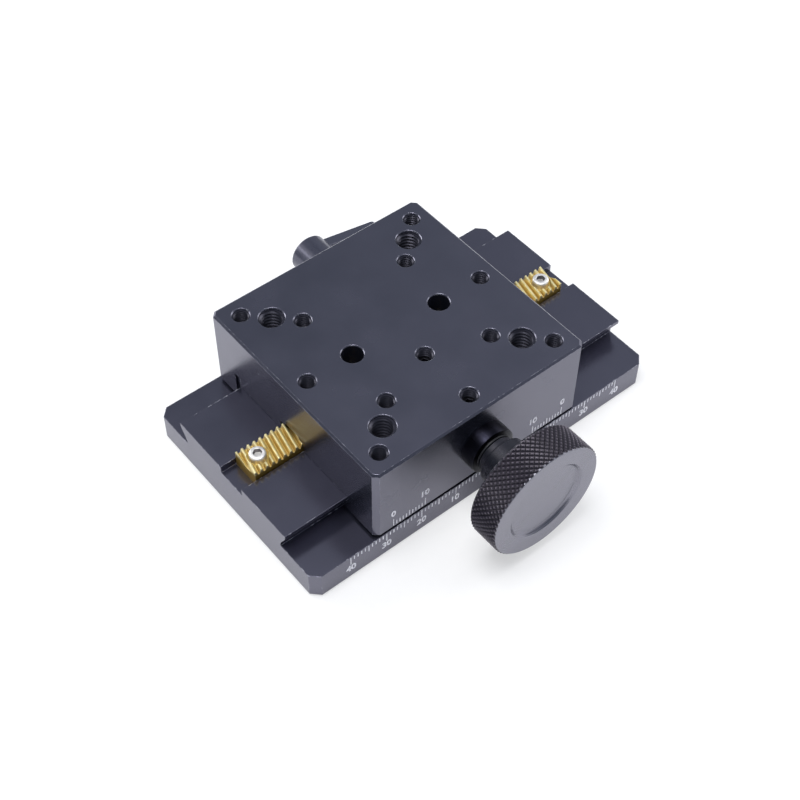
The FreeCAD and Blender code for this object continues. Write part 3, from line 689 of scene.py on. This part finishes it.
def finished_piece(name, shape, material, body, faceted=()):
    bmesh.ops.remove_doubles(shape, verts=shape.verts, dist=weld)
    bmesh.ops.recalc_face_normals(shape, faces=shape.faces)
    for face in shape.faces:
        face.smooth = face not in faceted
    for edge in shape.edges:
        edge.smooth = edge.calc_face_angle(math.pi) < sharp_turn
    mesh = bpy.data.meshes.new(name)
    shape.to_mesh(mesh)
    shape.free()
    mesh.materials.append(material)
    piece = bpy.data.objects.new(name, mesh)
    bpy.context.scene.collection.objects.link(piece)
    if body:
        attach(piece, body)
    print(name, "has", len(mesh.polygons), "faces")
    return piece


print("edges are sharp from", round(math.degrees(sharp_turn)), "degrees")

# %% [markdown]
# Turned shapes
#
# A turned part is one outline spun round an axis, just as the tool meets the turning bar.
# A full spin merges its last step with its first. A spin that also moves along its axis
# makes a thread or a coil, and its ends stay apart.

# %% Helpers for outlines and spins
along_y, along_z = (0, 1, 0), (0, 0, 1)


def outline_edges(shape, points):
    corners = [shape.verts.new(point) for point in points]
    return [shape.edges.new(pair) for pair in zip(corners, corners[1:])]


def spin_round(shape, axis, steps, turns=1, advance=0):
    bmesh.ops.spin(shape, geom=shape.verts[:] + shape.edges[:], cent=(0, 0, 0), axis=axis,
                   dvec=[advance * part for part in axis], angle=2 * math.pi * turns,
                   steps=steps, use_merge=advance == 0, use_duplicate=False)


print("one step of 264 is", round(360 / 264, 2), "degrees")

# %% [markdown]
# The knob's outline
#
# The outline starts in the middle of the shallow dish in the knob's face, climbs the dish's
# wall, runs along the rim in short steps, and goes down the back to the hub, the neck and
# the bore for the shaft. Its points are written as a depth into the knob and a radius.
# In the picture the wall is a soft band about 10 mm out, with no edge in it, so it follows
# half a wave of the cosine, which starts and ends flat. The steps along the rim are there
# for the knurling, which comes next.

# %% Outline of the knob
knurl_columns, knurl_rows = 264, 20
knurl_step = 0.35 * mm
peak_radius, ridge_radius, groove_radius = 15.0 * mm, 14.82 * mm, 14.6 * mm
rim_chamfer = 0.5 * mm
dish_depth, dish_foot, dish_lip, dish_steps = 0.9, 9.2, 10.5, 12
face_radius, groove_start = 14.5, 0.1
disc_back, hub_back, neck_back, bore_end = 8.0, 14.8, 16.8, 4.0
hub_radius, neck_radius, bore_radius = 6.0, 4.7, 3.03
hub_fillet, hub_chamfer = 0.45, 0.3

dish = [(dish_depth, 0.0)]
for step in range(dish_steps + 1):
    share = step / dish_steps
    dish.append((dish_depth * (1 + math.cos(math.pi * share)) / 2,
                 dish_foot + (dish_lip - dish_foot) * share))
dish.append((0.0, face_radius))
knurl_band = [(groove_start, groove_radius / mm)]
knurl_band += [((rim_chamfer + row * knurl_step) / mm, peak_radius / mm)
               for row in range(knurl_rows + 1)]
knurl_band.append((disc_back - groove_start, groove_radius / mm))
back = [(disc_back, face_radius), (disc_back, hub_radius + hub_fillet),
        (disc_back + hub_fillet, hub_radius), (hub_back - hub_chamfer, hub_radius),
        (hub_back, hub_radius - hub_chamfer), (hub_back, neck_radius),
        (neck_back - hub_chamfer, neck_radius), (neck_back, neck_radius - hub_chamfer),
        (neck_back, bore_radius), (bore_end, bore_radius), (bore_end, 0.0)]
knob_outline = [Vector((radius * mm, depth * mm, 0))
                for depth, radius in dish + knurl_band + back]
print("knob outline has", len(knob_outline), "points")

# %% [markdown]
# The body of the knob
#
# The outline is spun in 264 steps, which is four for each of the 66 diamonds of its knurl.
# The points on the axis fall on each other, so they are merged.

# %% Spin the knob
knob_shape = bmesh.new()
outline_edges(knob_shape, knob_outline)
spin_round(knob_shape, along_y, knurl_columns)
bmesh.ops.remove_doubles(knob_shape, verts=knob_shape.verts, dist=2 * weld)
print("spun knob has", len(knob_shape.faces), "faces")

# %% [markdown]
# The diamond knurl
#
# Knurling presses two sets of V grooves into the rim, one to the left and one to the right
# at 45 degrees. Between them stand small pyramids with worn tips. The pitch is 1.4 mm,
# counted on the picture, which gives 66 diamonds round the rim. A bump in the material
# could draw them, but the rim's outline would stay smooth, so they are real points here.
# With four columns and four rows to a diamond, a point lies in a groove when the sum or the
# difference of its column and row divides by four. It lies half way up, on a ridge, when
# the sum is odd, and what is left are the peaks. Each small face is then split along the
# groove, or beside it, which keeps the pyramid crisp.

# %% Knurl its rim
def distance_out(point):
    return math.hypot(point.co.x, point.co.z)


def knurled_radius(point):
    column = round(math.atan2(point.co.z, point.co.x) / (2 * math.pi / knurl_columns))
    row = round((point.co.y - rim_chamfer) / knurl_step)
    if (column + row) % 4 == 0 or (column - row) % 4 == 0:
        return groove_radius
    return ridge_radius if (column + row) % 2 else peak_radius


for point in knob_shape.verts:
    out = distance_out(point)
    if out > peak_radius - 0.1 * mm:
        share = knurled_radius(point) / out
        point.co.x *= share
        point.co.z *= share
edge_of_band = groove_radius - 0.05 * mm
low = {v for v in knob_shape.verts if edge_of_band < distance_out(v) < ridge_radius - 0.1 * mm}
band = [f for f in knob_shape.faces if all(distance_out(v) > edge_of_band for v in f.verts)]
for face in band:
    a, b, c, d = face.verts
    if (b in low and d in low) or ((a in low) != (c in low)):
        bmesh.utils.face_split(face, b, d)
    else:
        bmesh.utils.face_split(face, a, c)
knurl = {f for f in knob_shape.faces if all(distance_out(v) > edge_of_band for v in f.verts)}
print("knurl has", len(knurl), "facets")

# %% [markdown]
# The knob in its place
#
# The knob was made round the origin, because a spin and a knurl are simple there. It is
# moved to the shaft, its facets of the knurl stay flat, and it turns with the shaft.

# %% Place the knob
bmesh.ops.translate(knob_shape, verts=knob_shape.verts, vec=(shaft_x, knob_face, shaft_z))
knob = finished_piece("knurled_knob", knob_shape, anodised_knob, "drive",
                      knurl)

# %% [markdown]
# The holes for the set screws
#
# Two small screws go through the hub onto the shaft. Their holes are drilled after the
# turning, so they are cut here with two round bars and a Boolean modifier, and the result
# is kept as the knob's mesh. The bars are then thrown away.

# %% A bar, and a helper that takes one shape away from a piece
def bar(shape, radius, length, sides, matrix):
    bmesh.ops.create_cone(shape, cap_ends=True, segments=sides, radius1=radius,
                          radius2=radius, depth=length, matrix=matrix)


def take_away(piece, tool_shape):
    tool_mesh = bpy.data.meshes.new("tool")
    tool_shape.to_mesh(tool_mesh)
    tool_shape.free()
    tool = bpy.data.objects.new("tool", tool_mesh)
    bpy.context.scene.collection.objects.link(tool)
    step = piece.modifiers.new("cut", "BOOLEAN")
    step.operation = "DIFFERENCE"
    step.object = tool
    state = bpy.context.evaluated_depsgraph_get()
    piece.data = bpy.data.meshes.new_from_object(piece.evaluated_get(state))
    piece.modifiers.clear()
    bpy.data.objects.remove(tool)
    print(piece.name, "now has", len(piece.data.polygons), "faces")


print("a bar and a cut are ready")

# %% [markdown]
# The drilled hub
#
# The bars lie at a right angle to each other, from outside the hub to near its middle. Once
# it is drilled, the knob stands in for the plain solid one.

# %% Drill the knob's hub
hole_radius, drill_length, drill_middle = 1.55 * mm, 6 * mm, 5.5 * mm
drills = bmesh.new()
screw_low, screw_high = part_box("knob_set_screws")
screw_y = (screw_low.y + screw_high.y) / 2
for turn in (Euler((0, 0, 0)), Euler((0, math.radians(-90), 0))):
    bar(drills, hole_radius, drill_length, 32,
        turn.to_matrix().to_4x4() @ Matrix.Translation((0, 0, -drill_middle)))
bmesh.ops.translate(drills, verts=drills.verts, vec=(shaft_x, screw_y, shaft_z))
take_away(knob, drills)
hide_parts("knob")

# %% [markdown]
# Face, knurl and hub
#
# A mesh can carry several materials, and each of its faces holds the number of its own.
# The place of a face tells which finish it has: the knurl is what lies farther out than
# the bottom of its grooves, behind the flat edge of the knob's face, and whatever else is
# behind the dish is back or hub.

# %% Three finishes on one knob
flat_edge, behind_dish = 0.15 * mm, 1.5 * mm
knob.data.materials.append(anodised_knurl)
# The back and the hub take the darker copy of the oxide, which is painted shade.
knob.data.materials.append(anodised_hub_shaded)
for polygon in knob.data.polygons:
    out = math.hypot(polygon.center.x - shaft_x, polygon.center.z - shaft_z)
    depth = polygon.center.y - knob_face
    if out > groove_radius and flat_edge < depth < disc_back * mm - flat_edge:
        polygon.material_index = 1
    elif depth > behind_dish:
        polygon.material_index = 2
print("knob has", len(knob.data.materials), "finishes")

# %% [markdown]
# Threads in the tapped holes
#
# Looking down into a tapped hole, the eye catches the bright crests of the thread. Rings
# would do from far off, but a look into a hole shows that a thread climbs. So it is a
# zigzag outline, spun once round while it moves along by one pitch, so that its end
# meets the next turn of its start. It is cut off square at both ends, each cut edge is
# drawn out to a plain circle, and the two circles are bridged, which closes the sleeve.
# The sleeve sits inside the hole of the solid, which is drilled to the full thread size.
# A tooth of the zigzag is written as shares of the pitch.

# %% A threaded sleeve
def threaded_sleeve(shape, places, hole_radius, crest_radius, pitch, top, bottom, steps):
    sleeve = bmesh.new()
    turns = math.ceil((top - bottom) / pitch) + 2
    start = bottom - 1.5 * pitch
    wall = hole_radius - 0.01 * mm
    root = hole_radius - 0.06 * mm
    tooth = [(0.0, root), (0.12, root), (0.5, crest_radius), (0.62, crest_radius)]
    zigzag = [Vector((radius, 0, start + (turn + share) * pitch))
              for turn in range(turns) for share, radius in tooth]
    outline_edges(sleeve, zigzag + [Vector((root, 0, start + turns * pitch))])
    spin_round(sleeve, along_z, steps, advance=pitch / steps)
    bmesh.ops.remove_doubles(sleeve, verts=sleeve.verts, dist=5 * weld)
    for height, side in ((top, 1), (bottom, -1)):
        everything = sleeve.verts[:] + sleeve.edges[:] + sleeve.faces[:]
        cut = bmesh.ops.bisect_plane(sleeve, geom=everything, plane_co=(0, 0, height),
                                     plane_no=(0, 0, side), clear_outer=True)
        cut_edge = [e for e in cut["geom_cut"] if isinstance(e, bmesh.types.BMEdge)]
        drawn = bmesh.ops.extrude_edge_only(sleeve, edges=cut_edge)["geom"]
        for point in [v for v in drawn if isinstance(v, bmesh.types.BMVert)]:
            share = wall / math.hypot(point.co.x, point.co.y)
            point.co.x *= share
            point.co.y *= share
    bmesh.ops.bridge_loops(sleeve, edges=[e for e in sleeve.edges if e.is_boundary])
    bmesh.ops.recalc_face_normals(sleeve, faces=sleeve.faces)
    made = bpy.data.meshes.new("sleeve")
    sleeve.to_mesh(made)
    sleeve.free()
    for x, y in places:
        before = len(shape.verts)
        shape.from_mesh(made)
        shape.verts.ensure_lookup_table()
        bmesh.ops.translate(shape, verts=shape.verts[before:], vec=(x, y, 0))
    bpy.data.meshes.remove(made)


print("a thread starts 1.5 pitches below its hole's end, and is cut off there")

# %% [markdown]
# The three kinds of hole
#
# The top has four M6 holes and ten M4 holes, which stand on squares round its middle and on
# a row across it. Two more M4 holes hold the screws that lock the bush, so their threads
# end just above those screws. Each line of the table gives a hole's radius, the radius of
# the thread's crests, the pitch, and the depths at which the thread starts and ends.

# %% Threads of the top
def square_of(reach):
    return [(block_x + side * reach * mm, end * reach * mm)
            for side in (-1, 1) for end in (-1, 1)]


row_ends = [(block_x - 25 * mm, 0), (block_x + 25 * mm, 0)]
lock_places = [(block_x, -25 * mm), (block_x, -10 * mm)]
lock_depth = (block_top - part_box("bush_lock_screws")[1].z) / mm - 0.1
tapped_holes = [
    ("top_threads_m6", square_of(20), 3.0, 2.46, 1.0, 0.5, 9.5, 40),
    ("top_threads_m4", square_of(25) + square_of(15) + row_ends, 2.0, 1.62, 0.7, 0.4, 7.6, 32),
    ("lock_screw_threads", lock_places, 2.05, 1.66, 0.7, 0.4, lock_depth, 32),
]
for name, places, hole, crest, pitch, start, end, steps in tapped_holes:
    threads = bmesh.new()
    threaded_sleeve(threads, places, hole * mm, crest * mm, pitch * mm,
                    block_top - start * mm, block_top - end * mm, steps)
    finished_piece(name, threads, anodised_thread_shaded, "carriage")

# %% [markdown]
# The screws of the rack
#
# Two small stainless cap screws hold the rack, and their bright heads are the first thing
# the eye finds on the rail. A screw is an outline spun round its axis, with a rounded rim.
# Its hexagon is a six-sided bar taken away by a Boolean modifier, as the key's socket is
# punched into the real head.

# %% Cap screws of the rack
shank_radius, cap_radius, cap_height, tip_chamfer = 1.25, 2.0, 2 * mm, 0.15
hexagon_corner, socket_depth, punch_length = 1.155 * mm, 1.25 * mm, 2 * mm
rim_rounding = 0.45 * mm
screws_low, screws_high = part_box("rack_screws")
head_radius = screws_high.y
head_top = screws_high.z
head_seat = head_top - cap_height
screw_places = [(screws_low.x + head_radius, 0), (screws_high.x - head_radius, 0)]
cap_screws = bmesh.new()
sockets = bmesh.new()
for x, y in screw_places:
    one = bmesh.new()
    outline_edges(one, [Vector((r * mm, 0, z)) for r, z in (
        (0.0, screws_low.z), (shank_radius - tip_chamfer, screws_low.z),
        (shank_radius, screws_low.z + tip_chamfer * mm), (shank_radius, head_seat),
        (cap_radius, head_seat), (cap_radius, head_top), (0.0, head_top))])
    rim = [v for v in one.verts
           if v.co.x > cap_radius * mm - weld and v.co.z > head_top - weld]
    bmesh.ops.bevel(one, geom=rim, offset=rim_rounding, offset_type="OFFSET", segments=5,
                    profile=0.5, affect="VERTICES", material=-1)
    spin_round(one, along_z, 48)
    bmesh.ops.remove_doubles(one, verts=one.verts, dist=2 * weld)
    bmesh.ops.recalc_face_normals(one, faces=one.faces)
    bmesh.ops.translate(one, verts=one.verts, vec=(x, y, 0))
    single = bpy.data.meshes.new("single")
    one.to_mesh(single)
    one.free()
    cap_screws.from_mesh(single)
    bpy.data.meshes.remove(single)
    bar(sockets, hexagon_corner, punch_length, 6,
        Matrix.Translation((x, y, head_top - socket_depth + punch_length / 2)))
rack_caps = finished_piece("rack_cap_screws", cap_screws, stainless, "base")
take_away(rack_caps, sockets)
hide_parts("rack_screws")

# %% [markdown]
# The walls of the sockets
#
# The socket's walls take a darker copy of the steel, which is painted shade inside the socket,
# while its floor keeps the bright steel and still catches the light. The walls are the faces
# near a screw's axis, above the floor and below the rim.

# %% Painted shade on the walls of the sockets
rack_caps.data.materials.append(shaded_socket_steel)
walls_low, walls_high, walls_out = head_top - 1.2 * mm, head_top - 0.1 * mm, 1.14 * mm
for polygon in rack_caps.data.polygons:
    out = min(math.hypot(polygon.center.x - x, polygon.center.y - y) for x, y in screw_places)
    if out < walls_out and walls_low < polygon.center.z < walls_high:
        polygon.material_index = 1
print("each socket has", sum(p.material_index for p in rack_caps.data.polygons) // 2, "walls")

# %% [markdown]
# The bush round the shaft
#
# The bush is a plain turned sleeve with a head, and its round head stands between the block
# and the knob in full view. Its closed outline is spun in the same way as the knob's, with
# 96 steps, so that the streak of light on it runs smooth.

# %% Bush with a smooth round head
sleeve_radius, sleeve_tip, flange_radius = 4.58, 4.3, 6.0
tip_length, flange_rounding = 0.3 * mm, 0.35 * mm
bush_low, bush_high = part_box("front_bush")
bush_outline = [(bush_high.y, bore_radius), (bush_high.y, sleeve_tip),
                (bush_high.y - tip_length, sleeve_radius), (block_front, sleeve_radius),
                (block_front, flange_radius), (bush_low.y, flange_radius),
                (bush_low.y, bore_radius)]
bush_shape = bmesh.new()
outline_edges(bush_shape, [Vector((r * mm, y, 0)) for y, r in bush_outline])
bush_shape.verts.ensure_lookup_table()
bush_shape.edges.new((bush_shape.verts[-1], bush_shape.verts[0]))
front_corner = [v for v in bush_shape.verts
                if v.co.y < bush_low.y + weld and v.co.x > sleeve_radius * mm]
bmesh.ops.bevel(bush_shape, geom=front_corner, offset=flange_rounding, offset_type="OFFSET",
                segments=2, profile=0.5, affect="VERTICES", material=-1)
spin_round(bush_shape, along_y, 96)
bmesh.ops.translate(bush_shape, verts=bush_shape.verts, vec=(shaft_x, 0, shaft_z))
bush = finished_piece("shaft_bush", bush_shape, bush_steel, "carriage")
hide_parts("front_bush")

# %% [markdown]
# The handle's spring
#
# A small coil spring inside the handle pushes it back on its teeth. One end stands against the
# head of the screw, which stays where it is, and the other against a web in the handle, which
# comes 2.3 mm closer when the handle is pulled. A coil is a circle of wire, spun round an axis
# while it moves along, with a cap on each end.

# %% Coil spring
spring_low, spring_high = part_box("lever_spring")
spring_axis = (spring_low + spring_high) / 2
wire_radius = 0.25 * mm
coil_radius = (spring_high.x - spring_low.x) / 2 - wire_radius
coil_turns, steps_per_turn = 3, 48
coil_steps = steps_per_turn * coil_turns
advance = (spring_high.y - spring_low.y - 2 * wire_radius) / coil_steps
spring_shape = bmesh.new()
bmesh.ops.create_circle(spring_shape, cap_ends=False, radius=wire_radius, segments=12,
                        matrix=Matrix.Translation((coil_radius, 0, 0)))
spin_round(spring_shape, along_y, coil_steps, coil_turns, advance)
bmesh.ops.holes_fill(spring_shape, edges=[e for e in spring_shape.edges if e.is_boundary])
bmesh.ops.translate(spring_shape, verts=spring_shape.verts,
                    vec=(spring_axis.x, spring_low.y + wire_radius, spring_axis.z))
spring = finished_piece("handle_coil_spring", spring_shape, stainless, None)
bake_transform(spring)
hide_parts("lever_spring")

# %% [markdown]
# The engraved lines
#
# The base has a line for every millimetre from -40 to 40, longer at the fives and longest
# at the tens. The block has two verniers, which divide nine millimetres into ten parts and
# so read tenths. A picture on the face could carry the lines, but thin bars stay crisp from
# near. Each bar's four corners are rounded, because the engraving cutter is round, and it
# stands 0.012 mm out of the face, so that the paint is seen.

# %% Lines of the scale and of the verniers
paint_proud = 0.012 * mm
paint_depth = paint_proud + 0.05 * mm
paint_middle = paint_depth / 2 - paint_proud


def engraved_lines(shape, lines, face_y, width):
    for x, low_z, high_z in lines:
        place = Matrix.Translation((x, face_y + paint_middle, (low_z + high_z) / 2))
        size = Matrix.Diagonal((width, paint_depth, high_z - low_z, 1))
        bmesh.ops.create_cube(shape, size=1.0, matrix=place @ size)
    corners = [e for e in shape.edges
               if abs(e.verts[0].co.y - e.verts[1].co.y) > paint_depth * 0.9]
    bmesh.ops.bevel(shape, geom=corners, offset=width * 0.4, offset_type="OFFSET", segments=3,
                    profile=0.5, affect="EDGES", material=-1)


def scale_line(number):
    foot = {0: 4.65, 5: 5.15}.get(number % 10, 6.0)
    return (number * mm, foot * mm, 7.25 * mm)


def vernier_line(zero, side, number):
    head = {0: 11.2, 5: 10.6, 10: 11.2}.get(number, 10.1)
    return (zero + side * number * 0.9 * mm, 8.75 * mm, head * mm)


scale_shape = bmesh.new()
engraved_lines(scale_shape, [scale_line(n) for n in range(-40, 41)], base_front, 0.27 * mm)
finished_piece("scale_lines", scale_shape, engraving_paint, "base")

vernier_shape = bmesh.new()
vernier_lines = [vernier_line(block_x - side * 25 * mm, side, n)
                 for side in (1, -1) for n in range(11)]
engraved_lines(vernier_shape, vernier_lines, block_front, 0.25 * mm)
finished_piece("vernier_lines", vernier_shape, engraving_paint, "carriage")

# %% [markdown]
# The engraved numbers
#
# Text in Blender is a curve. Each number becomes a mesh first, is scaled to its real height,
# stood up to face the front and moved to its line, and only then joins the others. The
# strokes are thickened a little, because an engraving cutter is wider than a pen.

# %% Numbers of the scale and of the verniers
half_thickness = 0.02
stroke_growth = 0.034


def engraved_numbers(shape, words, height, face_y):
    for word, x, z in words:
        letters = bpy.data.curves.new("number", "FONT")
        letters.body = word
        letters.align_x = "CENTER"
        letters.align_y = "CENTER"
        letters.resolution_u = 4
        letters.extrude = half_thickness
        letters.offset = stroke_growth
        holder = bpy.data.objects.new("number", letters)
        flat = bpy.data.meshes.new_from_object(holder)
        across, up, _ = zip(*(v.co for v in flat.vertices))
        middle = ((max(across) + min(across)) / 2, (max(up) + min(up)) / 2, 0)
        flat.transform(Matrix.Translation([-part for part in middle]))
        taller = height / (max(up) - min(up))
        thicker = paint_depth / (2 * half_thickness)
        flat.transform(Matrix.Diagonal((taller, taller, thicker, 1)))
        upright = Matrix.Rotation(math.radians(90), 4, "X")
        flat.transform(Matrix.Translation((x, face_y + paint_middle, z)) @ upright)
        shape.from_mesh(flat)
        bpy.data.objects.remove(holder)
        bpy.data.curves.remove(letters)
        bpy.data.meshes.remove(flat)


number_shape = bmesh.new()
scale_words = [(str(abs(n)), n * mm, 3.45 * mm) for n in range(-40, 41, 10)]
engraved_numbers(number_shape, scale_words, 2.1 * mm, base_front)
finished_piece("scale_numbers", number_shape, engraving_paint, "base")

vernier_number_shape = bmesh.new()
vernier_words = [(word, block_x + side * place * mm, 13.2 * mm)
                 for side in (-1, 1) for word, place in (("0", 25), ("10", 16))]
engraved_numbers(vernier_number_shape, vernier_words, 2.0 * mm, block_front)
finished_piece("vernier_numbers", vernier_number_shape, engraving_paint, "carriage")

# %% [markdown]
# The last check
# The box straight after loading and the box of the finished picture are compared, and the
# largest difference between their corners is printed.

# %% Compare the two boxes
visual_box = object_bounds()
growth = max(abs(a - b) for one, two in zip(cad_box, visual_box) for a, b in zip(one, two))
print("the dressed stage differs from its box by", round(growth / mm, 3), "mm")
